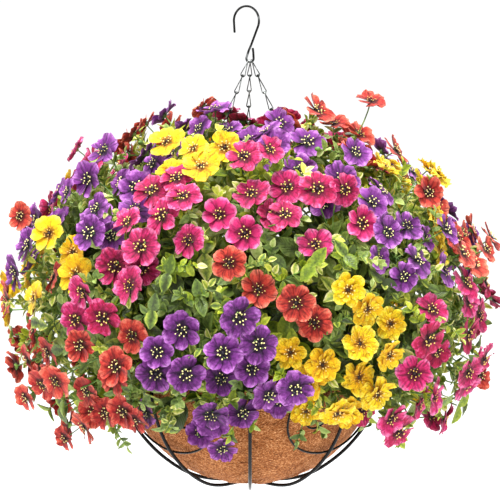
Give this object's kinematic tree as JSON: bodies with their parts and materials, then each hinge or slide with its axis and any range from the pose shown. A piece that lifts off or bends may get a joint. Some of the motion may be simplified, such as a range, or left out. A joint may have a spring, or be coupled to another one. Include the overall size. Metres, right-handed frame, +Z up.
{
  "type": "daisy hanging basket",
  "caption": "Ball of many-coloured daisies on leafy stems in a coir-lined round wire basket with scrolls, hung by chains from an open wire hook.",
  "frame": {"origin": "seat inside the crook of the hook, where it rests on what it hangs from, straight above the middle of the basket", "axes": "+Z up, -Y towards the front that the picture shows, +X to the right as seen from the front"},
  "size_m": [0.5761, 0.5843, 0.5484],
  "materials": {
    "petals_purple": "dyed moulded cloth petals, matte",
    "petals_fuchsia": "dyed moulded cloth petals, matte",
    "petals_red": "dyed moulded cloth petals, matte",
    "petals_yellow": "dyed moulded cloth petals, matte",
    "foliage": "moulded stems and glossy variegated leaves",
    "black_wire": "black powder-coated steel wire, satin",
    "chain_steel": "thin twisted steel wire, dark finish",
    "coir": "pressed coconut fibre, rough",
    "foam": "dry green foam, matte"
  },
  "bodies": {
    "root": {"chain_back": "chain_steel", "chain_left": "chain_steel", "chain_right": "chain_steel", "coir_liner": "coir", "foam_fill": "foam", "hook": "black_wire", "hub_disc": "black_wire", "rib_1": "black_wire", "rib_2": "black_wire", "rib_3": "black_wire", "rib_4": "black_wire", "rib_5": "black_wire", "rib_6": "black_wire", "rib_7": "black_wire", "rib_8": "black_wire", "rim_ring": "black_wire", "scroll_1": "black_wire", "scroll_2": "black_wire", "scroll_3": "black_wire", "scroll_4": "black_wire", "spray_01_purple": "petals_purple", "spray_02_purple": "petals_purple", "spray_03_yellow": "petals_yellow", "spray_04_red": "petals_red", "spray_05_purple": "petals_purple", "spray_06_fuchsia": "petals_fuchsia", "spray_07_purple": "petals_purple", "spray_08_fuchsia": "petals_fuchsia", "spray_09_fuchsia": "petals_fuchsia", "spray_10_fuchsia": "petals_fuchsia", "spray_11_yellow": "petals_yellow", "spray_12_purple": "petals_purple", "spray_13_red": "petals_red", "spray_14_purple": "petals_purple", "spray_15_yellow": "petals_yellow", "spray_16_fuchsia": "petals_fuchsia", "spray_17_red": "petals_red", "spray_18_yellow": "petals_yellow", "spray_19_purple": "petals_purple", "spray_20_fuchsia": "petals_fuchsia", "spray_21_red": "petals_red", "spray_22_fuchsia": "petals_fuchsia", "spray_23_red": "petals_red", "spray_24_purple": "petals_purple", "spray_25_purple": "petals_purple", "spray_26_yellow": "petals_yellow", "spray_27_fuchsia": "petals_fuchsia", "spray_28_red": "petals_red", "spray_29_fuchsia": "petals_fuchsia", "spray_30_red": "petals_red", "spray_31_yellow": "petals_yellow", "spray_32_purple": "petals_purple", "spray_33_fuchsia": "petals_fuchsia", "spray_34_red": "petals_red", "spray_35_purple": "petals_purple", "spray_36_yellow": "petals_yellow", "spray_37_yellow": "petals_yellow", "spray_38_fuchsia": "petals_fuchsia", "spray_39_red": "petals_red", "spray_40_purple": "petals_purple"}
  },
  "joints": []
}
